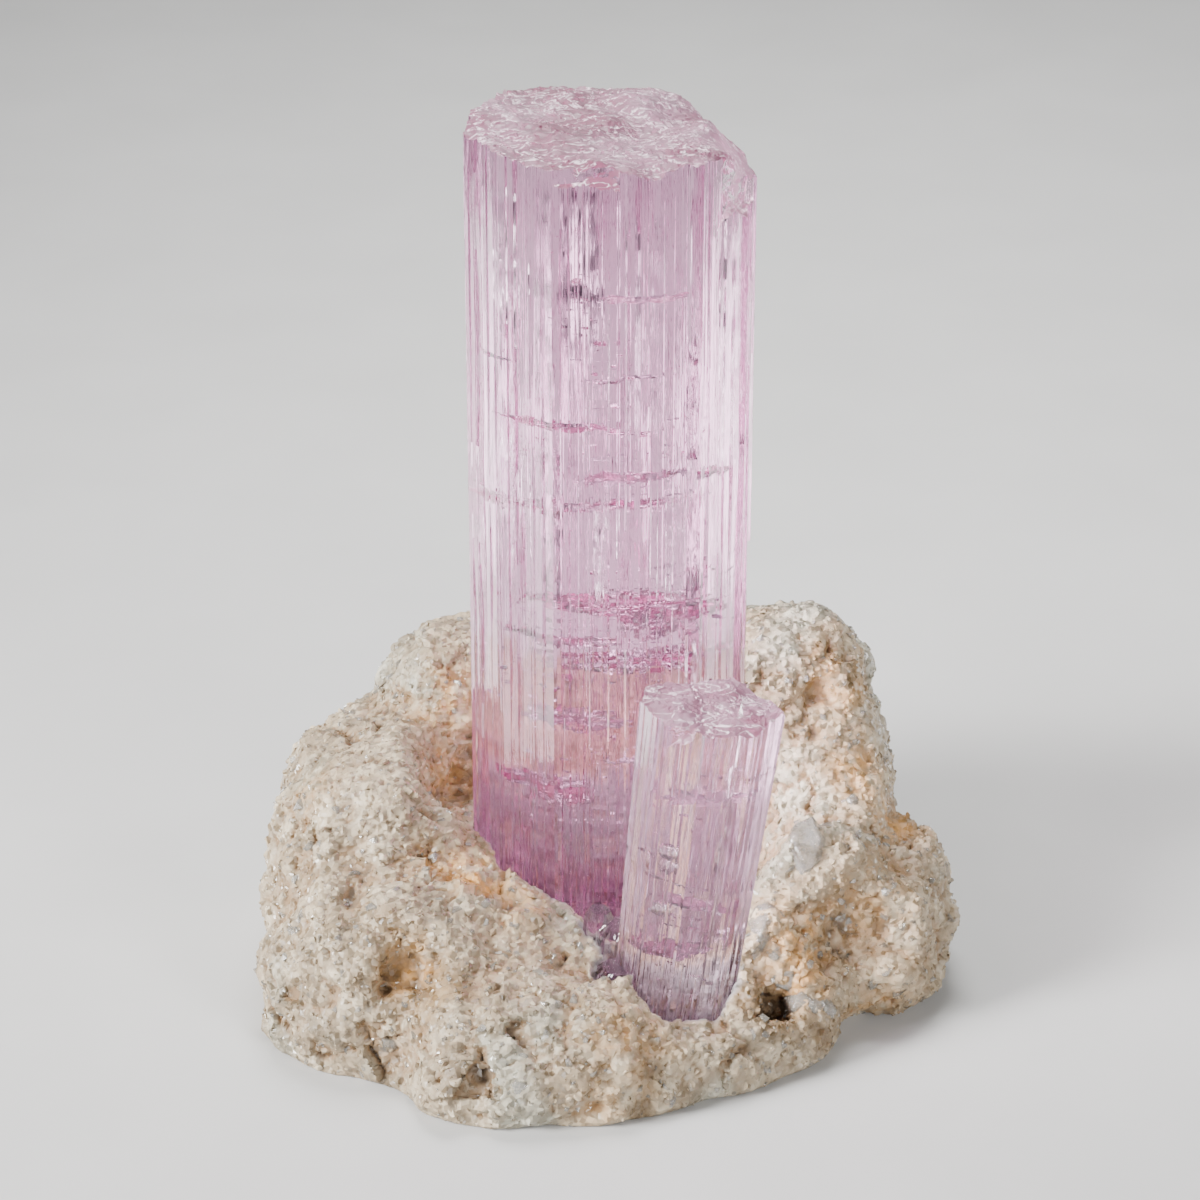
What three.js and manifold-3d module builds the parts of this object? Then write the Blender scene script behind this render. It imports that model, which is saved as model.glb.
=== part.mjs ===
// A kunzite specimen: a tall striated prism with a broken top, a smaller prism leaning in
// front of it, and the lump of granular feldspar and quartz that both of them grew in.
// Millimetres, +Z up, seen from -Y. The origin is the middle of the specimen's box, on the
// surface that it rests on.
import * as THREE from 'three';
import { MarchingCubes } from 'three/addons/objects/MarchingCubes.js';
import { ImprovedNoise } from 'three/addons/math/ImprovedNoise.js';
import { mergeVertices } from 'three/addons/utils/BufferGeometryUtils.js';
import Module from 'manifold-3d';

// Driving dimensions
const LARGE = {
  x: 1.25, // the middle of the prism, from the specimen's middle plane
  width: 33.5,
  depth: 28,
  root: 8, // height of its lower end, inside the matrix
  top: 111.5, // height of its broken top
  ridge: 0.42, // depth of the striations
  strip: [0.9, 2.3], // narrowest and widest strip between two of them
};
const SMALL = {
  x: 8.3,
  y: -20.4,
  root: 3.5,
  width: 16.8,
  depth: 12,
  length: 47,
  ridge: 0.26,
  strip: [0.8, 1.9],
  leanRight: 5.7, // degrees
  leanForward: 4.5, // degrees
  taper: 0.16, // share of its width that it loses from its top to its root
};
// Short prisms that grew against the left of the small crystal's foot, in its own axes
const SIDE_PRISMS = [
  { x: -7, y: 3.2, width: 5.5, depth: 5, length: 11.5 },
  { x: -9.7, y: 4.6, width: 3.6, depth: 3.2, length: 12.5 },
  { x: -7.2, y: -1.2, width: 5, depth: 5, length: 8.5 },
];
const SIDE_BEVEL = 0.7; // worn edge around the top of each
const LAYER = { thick: 0.4, end: 50 }; // outermost growth layer of the large crystal, gone below its end
// The broken top of the large crystal: nearly level, then falling away from a line near its right end
const TOP_BREAK = { tilt: 0.05, towardsBack: 0.25, from: 10.8, slope: 1.1 };
// Pieces missing from the rims: where they are, their size, and how far below the top they reach
const SPLINTER = { x: 15.8, y: 0.8, turn: -26, width: 10, depth: 15, below: 9 };
const LARGE_CHIP = { x: -2.6, y: -14.4, width: 7, depth: 4, below: 3.2 };
const SMALL_CHIP = { x: -3.6, y: -5.8, width: 3.4, depth: 3.4, below: 3.4 };
const SOCKET_GAP = 0.35; // between a crystal's ridges and the matrix around it
const CELL = 2.35; // grid of the matrix, the size of its smallest lumps
const CHIP_CELL = 1.5; // grid of a broken surface
const HIGHEST = 46; // above the top of the matrix

// Corners of the prisms, as shares of half the width and half the depth
const LARGE_CORNERS = [
  [-1, -0.16], [-0.76, -0.64], [-0.4, -0.96], [0.2, -1], [0.62, -0.78], [0.93, -0.36],
  [1, 0.14], [0.76, 0.68], [0.36, 0.95], [-0.2, 1], [-0.68, 0.82], [-0.96, 0.3],
];
const SMALL_CORNERS = [
  [-1, -0.1], [-0.66, -0.72], [-0.1, -1], [0.62, -0.86], [1, -0.2],
  [0.84, 0.5], [0.3, 1], [-0.5, 0.92], [-0.92, 0.44],
];

// The matrix is a blend of rounded lumps: its middle, then its half sizes
const LUMPS = [
  { at: [0, -2, 4], half: [33, 28, 10] }, // floor under the crystals
  { at: [-26.5, 4, 12], half: [14, 19, 18] }, // left boulder
  { at: [-23, -12, 6], half: [17.5, 15, 15] }, // its front shoulder
  { at: [-11, -11, 4], half: [12, 12, 14] }, // the slope from there to the large crystal's foot
  { at: [-7.5, -22.5, 3], half: [17.5, 15, 10.5] }, // front lip
  { at: [11.5, -17, 2], half: [15.5, 13.5, 8] }, // low front right, below the small crystal
  { at: [31, -1.5, 8], half: [12.2, 14, 10.8] }, // right lobe
  { at: [26.5, -8, 16], half: [6.5, 6.5, 7.5] }, // quartz block on the right lobe
  { at: [20.5, -15, 10], half: [5, 4.5, 6] }, // quartz beside the small crystal
  { at: [22, 19.5, 19], half: [13, 13, 20.5] }, // back right peak
  { at: [29, 9, 14], half: [7.5, 10, 11.5] }, // its flank
  { at: [3, 24, 15], half: [18, 11, 18] }, // back wall
  { at: [-17, 21, 16.5], half: [12.5, 12.5, 19.5] }, // back left peak
];
// Hollows in the matrix, and the pits that show as dark spots
const HOLLOWS = [
  { at: [-15, 2, 31], half: [8, 9, 11.5] }, // left of the large crystal
  { at: [17, -2, 30], half: [9, 10, 14] }, // right of it
  { at: [13.5, -28, 17], half: [9.5, 6.5, 9.5] }, // the dip in front of the small crystal
  { at: [20, -21.5, 6], half: [3, 3, 3.5] }, // hole at the small crystal's foot
  { at: [-22.5, -26.5, 16], half: [3.4, 3.4, 3] }, // pit in the front shoulder
  { at: [-14, -36.5, 5.5], half: [1.8, 2.6, 2.2] }, // small hole in the front lip
  { at: [33.5, -17.5, 15], half: [8, 6.5, 7] }, // shallow scoop in the face of the right lobe
  { at: [29, 6, 34], half: [6, 5, 6] }, // scoop in the back right peak
];
const SQUARENESS = 2.4; // 2 makes the lumps round, and more makes them blocks with soft edges
const BLEND = 3.2; // how softly lumps run together
const HOLLOW_BLEND = 1.6;
// Roughness of the matrix: broad waves, and grains that stand out of it as knobs
const WAVE = { size: 13, height: 1.7 };
const GRAIN = { size: 7.5, height: 2.6 };

const wasm = await Module();
wasm.setup();
const noise = new ImprovedNoise();

// Seeded random numbers from 0 to 1, so that the specimen comes out the same each time
function randomFrom(seed) {
  let state = seed;
  return () => {
    state = (state * 1664525 + 1013904223) % 4294967296;
    return state / 4294967296;
  };
}

// Closed geometry to a solid that can be cut, and back
function toSolid(geometry) {
  const bare = geometry.clone();
  for (const name of ['normal', 'uv']) bare.deleteAttribute(name);
  const merged = mergeVertices(bare, 1e-4);
  return new wasm.Manifold(new wasm.Mesh({
    numProp: 3,
    vertProperties: merged.getAttribute('position').array,
    triVerts: new Uint32Array(merged.index.array),
  }));
}

function toGeometry(solid) {
  const { vertProperties, triVerts } = solid.getMesh();
  const geometry = new THREE.BufferGeometry();
  geometry.setAttribute('position', new THREE.BufferAttribute(new Float32Array(vertProperties), 3));
  geometry.setIndex(new THREE.BufferAttribute(triVerts, 1));
  geometry.computeVertexNormals();
  return geometry;
}

// Outline of a prism with striations: each side is split into strips of uneven width, whose
// edges lie on or under the side.
function striatedOutline(size, corners, random) {
  const points = [];
  corners.forEach(([u, v], i) => {
    const [nextU, nextV] = corners[(i + 1) % corners.length];
    const from = new THREE.Vector2(u * size.width / 2, v * size.depth / 2);
    const to = new THREE.Vector2(nextU * size.width / 2, nextV * size.depth / 2);
    const side = to.clone().sub(from);
    const inward = new THREE.Vector2(-side.y, side.x).normalize();
    points.push(from);
    const [narrow, wide] = size.strip;
    let along = narrow + random() * (wide - narrow);
    while (along < side.length() - narrow) {
      const sink = random() * size.ridge;
      points.push(from.clone().addScaledVector(side, along / side.length()).addScaledVector(inward, sink));
      along += narrow + random() * (wide - narrow);
    }
  });
  return points;
}

// The outline with plain sides, and with a gap around it for the socket in the matrix
function plainOutline(size, corners, gap = 0) {
  const x = size.width / 2 + gap;
  const y = size.depth / 2 + gap;
  return corners.map(([u, v]) => new THREE.Vector2(u * x, v * y));
}

function prism(outline, length, bevel = 0) {
  return new THREE.ExtrudeGeometry(new THREE.Shape(outline), {
    depth: length, steps: 1, bevelEnabled: bevel > 0,
    bevelThickness: bevel, bevelSize: bevel, bevelOffset: -bevel, bevelSegments: 1,
  });
}

// A block that reaches above the crystals, and whose underside is a broken surface:
// height(x, y) says how high that stands
function breaker(width, depth, height) {
  const block = new THREE.BoxGeometry(
    width, depth, 1, Math.round(width / CHIP_CELL), Math.round(depth / CHIP_CELL), 1);
  const position = block.getAttribute('position');
  for (let i = 0; i < position.count; i += 1) {
    const under = position.getZ(i) < 0;
    position.setZ(i, under ? height(position.getX(i), position.getY(i)) : LARGE.top + 10);
  }
  return block;
}

// Ridges and small steps of a fracture
function fracture(x, y, scale, depth) {
  const broad = noise.noise(x / scale, y / scale, 4.2);
  const sharp = Math.abs(noise.noise(x / scale * 2.3, y / scale * 2.3, 9.7));
  return depth * (broad + 0.9 * sharp);
}

// The large crystal, standing on the plane of its root
function largeSolid() {
  const length = LARGE.top - LARGE.root;
  const body = toSolid(prism(striatedOutline(LARGE, LARGE_CORNERS, randomFrom(11)), length + 3));
  const top = breaker(LARGE.width + 8, LARGE.depth + 8, (x, y) => {
    const past = Math.max(0, x + TOP_BREAK.towardsBack * y - TOP_BREAK.from);
    return length - 0.7 + fracture(x, y, 7, 1.5) - TOP_BREAK.tilt * x - TOP_BREAK.slope * past;
  });
  // A splinter is missing from the front right corner, down to a ragged ledge
  const splinter = breaker(SPLINTER.width, SPLINTER.depth, (x, y) =>
    length - SPLINTER.below + fracture(x, y, 3.4, 1.8))
    .translate(SPLINTER.width / 2, -SPLINTER.depth / 2, 0)
    .rotateZ(THREE.MathUtils.degToRad(SPLINTER.turn)).translate(SPLINTER.x, SPLINTER.y, 0);
  // A chip at the front of the rim, deeper towards its outside
  const rimChip = breaker(LARGE_CHIP.width, LARGE_CHIP.depth, (x, y) =>
    length - LARGE_CHIP.below + fracture(x, y, 3, 1.2) + 0.5 * y).translate(LARGE_CHIP.x, LARGE_CHIP.y, 0);
  const layerBox = new THREE.BoxGeometry(4, LARGE.depth, LAYER.end)
    .translate(LARGE.width / 2 + 2 - LAYER.thick, 0, LAYER.end / 2);
  return [top, splinter, rimChip, layerBox].reduce((rest, cut) => rest.subtract(toSolid(cut)), body);
}

// Narrows a standing prism towards its root
function narrowed(geometry) {
  const position = geometry.getAttribute('position');
  for (let i = 0; i < position.count; i += 1) {
    const share = 1 - SMALL.taper * (1 - position.getZ(i) / SMALL.length);
    position.setXY(i, position.getX(i) * share, position.getY(i) * share);
  }
  return geometry;
}

function smallSolid() {
  const outline = striatedOutline(SMALL, SMALL_CORNERS, randomFrom(5));
  const body = toSolid(narrowed(prism(outline, SMALL.length + 4)));
  const top = breaker(SMALL.width + 6, SMALL.depth + 6, (x, y) =>
    SMALL.length - 0.6 + fracture(x + 20, y, 6, 1.3) - 0.12 * Math.abs(y));
  const rimChip = breaker(SMALL_CHIP.width, SMALL_CHIP.depth, (x, y) =>
    SMALL.length - SMALL_CHIP.below + fracture(x, y, 3, 1) + 0.6 * x)
    .translate(SMALL_CHIP.x, SMALL_CHIP.y, 0);
  const main = body.subtract(toSolid(top)).subtract(toSolid(rimChip));
  return SIDE_PRISMS.reduce((whole, side) => whole.add(toSolid(
    prism(plainOutline(side, SMALL_CORNERS), side.length, SIDE_BEVEL).translate(side.x, side.y, 0))), main);
}

// Where each crystal stands in the specimen
const LARGE_PLACE = new THREE.Matrix4().makeTranslation(LARGE.x, 0, LARGE.root);
const SMALL_PLACE = new THREE.Matrix4().makeTranslation(SMALL.x, SMALL.y, SMALL.root)
  .multiply(new THREE.Matrix4().makeRotationY(THREE.MathUtils.degToRad(SMALL.leanRight)))
  .multiply(new THREE.Matrix4().makeRotationX(THREE.MathUtils.degToRad(SMALL.leanForward)));

// Distance to a rounded lump, negative inside
function lumpDistance(point, { at, half }) {
  const shares = point.map((value, i) => Math.abs(value - at[i]) / half[i]);
  const reach = shares.reduce((sum, share) => sum + share ** SQUARENESS, 0) ** (1 / SQUARENESS);
  const slope = Math.hypot(...shares.map((share, i) => share / half[i]));
  return slope > 0 ? Math.hypot(...shares) * (reach - 1) / slope : -Math.min(...half);
}

function softMin(a, b, blend) {
  const share = Math.max(blend - Math.abs(a - b), 0) / blend;
  return Math.min(a, b) - share * share * blend / 4;
}

// A number from 0 to 1 that stays the same for each cell of a grid
function cellRandom(cell, turn) {
  const value = Math.sin(cell[0] * 127.1 + cell[1] * 311.7 + cell[2] * 74.7 + turn * 19.3) * 43758.5453;
  return value - Math.floor(value);
}

// How far a point is from the middle of its nearest grain, in shares of a grain's size. There
// is one grain in each cell of a grid, somewhere in the cell.
function grainReach(point) {
  const own = point.map((value) => Math.floor(value / GRAIN.size));
  let nearest = Infinity;
  for (let n = 0; n < 27; n += 1) {
    const cell = [own[0] + (n % 3) - 1, own[1] + (Math.floor(n / 3) % 3) - 1, own[2] + Math.floor(n / 9) - 1];
    const away = cell.map((index, axis) => index + cellRandom(cell, axis) - point[axis] / GRAIN.size);
    nearest = Math.min(nearest, Math.hypot(...away));
  }
  return nearest;
}

function matrixDistance(point) {
  const lumps = LUMPS.map((lump) => lumpDistance(point, lump));
  const mass = lumps.reduce((a, b) => softMin(a, b, BLEND));
  const wave = WAVE.height * noise.noise(...point.map((value) => value / WAVE.size));
  const knob = GRAIN.height * (0.6 - grainReach(point));
  const hollows = HOLLOWS.map((hollow) => lumpDistance(point, hollow));
  const hollow = hollows.reduce((a, b) => Math.min(a, b));
  return -softMin(-(mass - wave - knob), hollow, HOLLOW_BLEND);
}

// The matrix as it broke from the rock, before it is cut flat and takes the crystals
function roughMatrix() {
  const reach = 50; // half the side of the cube that holds it
  const resolution = Math.ceil(2 * reach / CELL);
  const middle = [0, 0, 18];
  const surface = new MarchingCubes(resolution, new THREE.MeshBasicMaterial(), false, false, 20000);
  surface.isolation = 0;
  const half = resolution / 2;
  for (let k = 0, n = 0; k < resolution; k += 1) {
    for (let j = 0; j < resolution; j += 1) {
      for (let i = 0; i < resolution; i += 1, n += 1) {
        const point = [i, j, k].map((index, axis) => middle[axis] + (index - half) * CELL);
        const farOff = point[2] < -2 * CELL || point[2] > HIGHEST;
        surface.field[n] = farOff ? -CELL : -matrixDistance(point);
      }
    }
  }
  surface.update();
  const positions = surface.positionArray.slice(0, surface.count * 3);
  const geometry = new THREE.BufferGeometry();
  geometry.setAttribute('position', new THREE.BufferAttribute(positions, 3));
  const side = half * CELL;
  return toSolid(geometry.scale(side, side, side).translate(...middle));
}

function matrixSolid() {
  const below = new THREE.BoxGeometry(200, 200, 60).translate(0, 0, -30);
  const largeSocket = prism(plainOutline(LARGE, LARGE_CORNERS, SOCKET_GAP), LARGE.top)
    .translate(0, 0, -SOCKET_GAP).applyMatrix4(LARGE_PLACE);
  const smallSocket = narrowed(prism(plainOutline(SMALL, SMALL_CORNERS, SOCKET_GAP), SMALL.length))
    .translate(0, 0, -SOCKET_GAP).applyMatrix4(SMALL_PLACE);
  const sideSockets = SIDE_PRISMS.map((side) =>
    prism(plainOutline(side, SMALL_CORNERS, SOCKET_GAP), SMALL.length)
      .translate(side.x, side.y, -SIDE_BEVEL - SOCKET_GAP).applyMatrix4(SMALL_PLACE));
  const cut = [below, largeSocket, smallSocket, ...sideSockets]
    .reduce((rest, tool) => rest.subtract(toSolid(tool)), roughMatrix());
  // The largest body is the matrix: a crumb that a socket cuts off is dropped
  return cut.decompose().sort((a, b) => b.volume() - a.volume())[0];
}

const KUNZITE = { roughness: 0.05, metalness: 0, transparent: true, opacity: 0.6 };
const large = new THREE.Mesh(toGeometry(largeSolid()),
  new THREE.MeshStandardMaterial({ color: 0xd8b4cc, ...KUNZITE }));
large.name = 'large_crystal';
large.applyMatrix4(LARGE_PLACE);

const small = new THREE.Mesh(toGeometry(smallSolid()),
  new THREE.MeshStandardMaterial({ color: 0xd2a6c4, ...KUNZITE }));
small.name = 'small_crystal';
small.applyMatrix4(SMALL_PLACE);

const matrix = new THREE.Mesh(toGeometry(matrixSolid()),
  new THREE.MeshStandardMaterial({ color: 0xcfc2ad, roughness: 0.75, metalness: 0 }));
matrix.name = 'matrix';

const specimen = new THREE.Group();
specimen.add(matrix, large, small);

// Moves the specimen so that the origin is under the middle of its box
const box = new THREE.Box3().setFromObject(specimen, true);
const centre = box.getCenter(new THREE.Vector3());
specimen.position.set(-centre.x, -centre.y, -box.min.z);

export default specimen;
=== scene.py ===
# %% [markdown]
# # A kunzite specimen
# The specimen is a tall, clear, lilac prism and a smaller one that leans in front of it. Both
# stand in the lump of granular feldspar and quartz that they grew in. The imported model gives
# the forms and the sizes. This script gives them the fine surface that a viewer looks for:
# lengthwise striations, broken ends, fractures inside the clear crystals, and sugary grains.

# %% Load the model and keep its box
import math
import random

import bmesh
import bpy
import numpy as np
from mathutils import Matrix, Vector, kdtree, noise
from mathutils.bvhtree import BVHTree


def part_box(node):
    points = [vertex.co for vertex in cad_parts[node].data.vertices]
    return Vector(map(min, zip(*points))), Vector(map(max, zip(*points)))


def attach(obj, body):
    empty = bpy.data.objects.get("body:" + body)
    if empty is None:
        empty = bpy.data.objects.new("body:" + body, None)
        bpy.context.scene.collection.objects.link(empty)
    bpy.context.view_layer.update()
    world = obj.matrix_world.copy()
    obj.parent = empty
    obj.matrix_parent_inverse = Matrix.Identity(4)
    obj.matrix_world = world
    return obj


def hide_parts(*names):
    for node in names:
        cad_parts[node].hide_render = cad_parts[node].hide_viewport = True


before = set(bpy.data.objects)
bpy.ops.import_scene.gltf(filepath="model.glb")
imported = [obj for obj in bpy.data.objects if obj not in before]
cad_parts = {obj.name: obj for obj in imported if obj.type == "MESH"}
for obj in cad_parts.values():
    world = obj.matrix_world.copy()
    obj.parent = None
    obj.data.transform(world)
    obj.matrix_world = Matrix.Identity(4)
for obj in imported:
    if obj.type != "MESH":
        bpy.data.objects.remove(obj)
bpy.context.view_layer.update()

MM = 0.001
SAME_PLACE = 0.02 * MM  # points of a solid nearer than this are one point
print("nodes", sorted(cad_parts))

# %% [markdown]
# ## Where the camera stands
# The photograph looks down on the specimen, so that the broken top of the tall crystal shows.
# Two facts fix a camera: how the vertical edges close in towards the bottom gives the distance,
# and how open the top face looks gives the height. The tall crystal stands a little right of
# the middle of the picture, so the middle is found from that crystal.

# %% Camera
PHOTO_SIDE = 1200  # pixels
FOCAL_PIXELS = 4167  # focal length in pixels of the photograph
DISTANCE = 500 * MM
LOOK_DOWN = math.radians(27)
LOOK_HEIGHT = 51 * MM
CRYSTAL_RIGHT_OF_MIDDLE = 1.25 * MM

tall_low, tall_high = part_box("large_crystal")
tall_axis = (tall_low + tall_high) / 2
target = Vector((tall_axis.x - CRYSTAL_RIGHT_OF_MIDDLE, tall_axis.y, LOOK_HEIGHT))
camera_data = bpy.data.cameras.new("camera")
camera_data.sensor_fit = "HORIZONTAL"
camera_data.angle = 2 * math.atan(PHOTO_SIDE / 2 / FOCAL_PIXELS)
camera_data.clip_start = 0.01
camera = bpy.data.objects.new("camera", camera_data)
camera.location = target + DISTANCE * Vector((0, -math.cos(LOOK_DOWN), math.sin(LOOK_DOWN)))
camera.rotation_euler = (math.pi / 2 - LOOK_DOWN, 0, 0)
bpy.context.scene.collection.objects.link(camera)
bpy.context.scene.camera = camera
print("camera at", [round(c / MM) for c in camera.location], "mm")

# %% [markdown]
# ## Finding a place on the rock from a place in the picture
# Stains, pits and quartz blocks have no drawing to follow, only the picture. A straight line
# from the camera through a pixel meets the rock at one point, and that point is a real place
# on the solid, so what is put there stays there when the specimen is seen from another side.

# %% A helper that finds that point
rock_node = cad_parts["matrix"]
rock_tree = BVHTree.FromObject(rock_node, bpy.context.evaluated_depsgraph_get())


ROCK_MIDDLE = (600, 880)  # pixel


def on_rock(pixel):
    """The place on the rock seen at a pixel, and the way that the rock faces there."""
    across = (pixel[0] - PHOTO_SIDE / 2) / FOCAL_PIXELS
    up = (PHOTO_SIDE / 2 - pixel[1]) / FOCAL_PIXELS
    turn = camera.rotation_euler.to_matrix()
    direction = (turn @ Vector((across, up, -1))).normalized()
    place, normal, face, distance = rock_tree.ray_cast(camera.location, direction)
    if place is None:  # just past the edge of the rock
        nearer = [0.98 * here + 0.02 * middle for here, middle in zip(pixel, ROCK_MIDDLE)]
        return on_rock(nearer)
    return place, normal


print("front lip at", [round(c / MM, 1) for c in on_rock((600, 1100))[0]], "mm")

# %% [markdown]
# ## Floor and light
# A plain pale floor and soft light are all that the specimen needs. Clear crystals show mostly
# what is around them, so the light comes from a few large soft lamps with darker room between
# them: each striation then mirrors or bends a different mix of bright and dark. Light that goes
# through upright faces stays as steep as it was, so from here the sides show only the floor
# close by. Two low panels beside the specimen, which shine upwards, are there for them.

# %% Small helpers for materials
def new_material(name):
    material = bpy.data.materials.new(name)
    material.use_nodes = True
    tree = material.node_tree
    shader = tree.nodes["Principled BSDF"]
    return material, tree, shader


def add_node(tree, kind, inputs=(), **settings):
    node = tree.nodes.new(kind)
    for key, value in settings.items():
        setattr(node, key, value)
    for key, value in dict(inputs).items():
        if isinstance(value, bpy.types.NodeSocket):
            tree.links.new(value, node.inputs[key])
        else:
            node.inputs[key].default_value = value
    return node


def ramp(tree, factor, stops):
    node = add_node(tree, "ShaderNodeValToRGB", {"Fac": factor})
    while len(node.color_ramp.elements) < len(stops):
        node.color_ramp.elements.new(0.5)
    for element, (place, colour) in zip(node.color_ramp.elements, stops):
        element.position = place
        element.color = (*colour, 1)
    return node.outputs["Color"]


def mixed(tree, factor, first, second, blend="MIX"):
    node = add_node(tree, "ShaderNodeMix", data_type="RGBA", blend_type=blend)
    for key, value in ((0, factor), (6, first), (7, second)):
        if isinstance(value, bpy.types.NodeSocket):
            tree.links.new(value, node.inputs[key])
        elif key == 0:
            node.inputs[key].default_value = value
        else:
            node.inputs[key].default_value = (*value, 1)
    return node.outputs[2]


def grey(value):
    return (value, value, value)


def object_place(tree):
    return add_node(tree, "ShaderNodeTexCoord").outputs["Object"]


# %% Floor and room
FLOOR_SIDE = 6.0  # m
ROOM_COLOUR = (0.85, 0.92, 1.0, 1)
ROOM_STRENGTH = 0.12

bpy.ops.object.select_all(action="DESELECT")
bpy.ops.mesh.primitive_plane_add(size=FLOOR_SIDE)
floor = bpy.context.object
floor.name = "floor"
floor_material, tree, shader = new_material("pale_floor")
speckle = add_node(
    tree, "ShaderNodeTexNoise", {"Vector": object_place(tree), "Scale": 40.0, "Detail": 4.0})
tone = ramp(
    tree, speckle.outputs["Fac"], [(0.3, (0.50, 0.495, 0.485)), (0.7, (0.53, 0.525, 0.515))])
tree.links.new(tone, shader.inputs["Base Color"])
shader.inputs["Roughness"].default_value = 0.7
floor.data.materials.append(floor_material)

world = bpy.data.worlds.new("room")
world.use_nodes = True
world.node_tree.nodes["Background"].inputs["Color"].default_value = ROOM_COLOUR
world.node_tree.nodes["Background"].inputs["Strength"].default_value = ROOM_STRENGTH
bpy.context.scene.world = world
print("floor", FLOOR_SIDE, "m square")

# %% Lamps
# name, place and aim in mm from the target, size in mm, power in watts, spread in degrees
LAMPS = [
    ("key_left", (-520, -230, 230), (0, 0, 0), (240, 260), 1.55, 50),
    ("front_right", (330, -450, 170), (0, 0, 0), (200, 200), 0.30, 50),
    ("back", (0, 430, 240), (0, 0, 0), (420, 280), 0.36, 150),
    ("top_back", (0, 300, 620), (0, 170, -50), (300, 360), 1.25, 70),
]
# name, middle and size along X and Y, in mm, and power: panels that lie low and shine upwards
PANELS = [
    ("panel_left", (-150, 60), (170, 210), 0.50),
    ("panel_right", (156, 70), (160, 170), 0.36),
]
PANEL_HEIGHT = 3 * MM
PANEL_SPREAD = 180  # degrees
LIGHT_BOUNCES = 14  # light crosses many faces inside a striated crystal
TRANSPARENT_BOUNCES = 8


def add_lamp(name, location, aim, size, power, spread):
    lamp_data = bpy.data.lights.new(name, "AREA")
    lamp_data.shape = "RECTANGLE"
    lamp_data.size = size[0] * MM
    lamp_data.size_y = size[1] * MM
    lamp_data.energy = power
    lamp_data.spread = math.radians(spread)
    lamp = bpy.data.objects.new(name, lamp_data)
    lamp.location = location
    lamp.rotation_euler = (aim - location).to_track_quat("-Z", "Y").to_euler()
    bpy.context.scene.collection.objects.link(lamp)


for name, place, aim, size, power, spread in LAMPS:
    add_lamp(name, target + Vector(place) * MM, target + Vector(aim) * MM, size, power, spread)
for name, (x, y), size, power in PANELS:
    low = Vector((x * MM, y * MM, PANEL_HEIGHT))
    add_lamp(name, low, low + Vector((0, 0, 1)), size, power, PANEL_SPREAD)
bpy.context.scene.cycles.max_bounces = LIGHT_BOUNCES
bpy.context.scene.cycles.transmission_bounces = LIGHT_BOUNCES
bpy.context.scene.cycles.transparent_max_bounces = TRANSPARENT_BOUNCES
print(len(LAMPS) + len(PANELS), "lamps")

# %% [markdown]
# ## A striated prism
# Kunzite grows long and thin, and its sides are combed with lengthwise striations, from ridges
# a millimetre or two across down to hairlines. A plain cylinder with as many sides as there
# are strips is a good start: it is cut across into short lengths, and every point on it is
# then moved to its place on the real outline, in or out by the depth of its striation. The
# depth changes a little along the length, which makes the long reflections break and shimmer.

# %% Helpers for working on one object at a time
def only(piece):
    bpy.ops.object.select_all(action="DESELECT")
    piece.select_set(True)
    bpy.context.view_layer.objects.active = piece


def apply_modifier(piece, kind, **settings):
    only(piece)
    modifier = piece.modifiers.new(kind.lower(), kind)
    for key, value in settings.items():
        setattr(modifier, key, value)
    bpy.ops.object.modifier_apply(modifier=modifier.name)


def points_of(piece):
    points = np.empty(len(piece.data.vertices) * 3)
    piece.data.vertices.foreach_get("co", points)
    return points.reshape(-1, 3)


def set_points(piece, points):
    piece.data.vertices.foreach_set("co", points.ravel())
    piece.data.update()


def triangle_count(piece):
    return sum(len(polygon.vertices) - 2 for polygon in piece.data.polygons)


# %% The outline of a prism, strip by strip
DEEPEST = 0.46  # mm, the deepest striation
NARROWEST, BROADEST = 0.16, 1.15  # mm, the flat strips between two steps
SMALLEST_STEP, LARGEST_STEP = 0.06, 0.28  # mm, how far in or out one step goes
STRIP_LEAN = 0.2  # a strip's most change in depth, as a share of its width
CLEAR_OF_CORNER = 0.3  # mm


def striated_outline(corners, width, depth, luck):
    """Points round the prism in mm: the place on the plain side, the way inward, and the depth."""
    points = []
    for (u, v), (next_u, next_v) in zip(corners, corners[1:] + corners[:1]):
        start = Vector((u * width / 2, v * depth / 2))
        end = Vector((next_u * width / 2, next_v * depth / 2))
        along = (end - start).normalized()
        inward = Vector((-along.y, along.x))
        length = (end - start).length
        points.append((start, inward, 0.0))
        travelled = luck.uniform(0.15, 0.4)
        sink = luck.uniform(0.0, 0.15)
        while True:
            strip = math.exp(luck.uniform(math.log(NARROWEST), math.log(BROADEST)))
            if travelled + strip > length - CLEAR_OF_CORNER:
                break
            points.append((start + along * travelled, inward, sink))
            sink = min(max(sink + strip * luck.uniform(-STRIP_LEAN, STRIP_LEAN), 0), DEEPEST)
            travelled += strip
            points.append((start + along * travelled, inward, sink))
            step = luck.uniform(SMALLEST_STEP, LARGEST_STEP) * luck.choice((-1, 1))
            if not 0 <= sink + step <= DEEPEST:
                step = -step
            sink = min(max(sink + step, 0), DEEPEST)
            travelled += abs(step) * luck.uniform(0.6, 1.1) + 0.02
    return points


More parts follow.
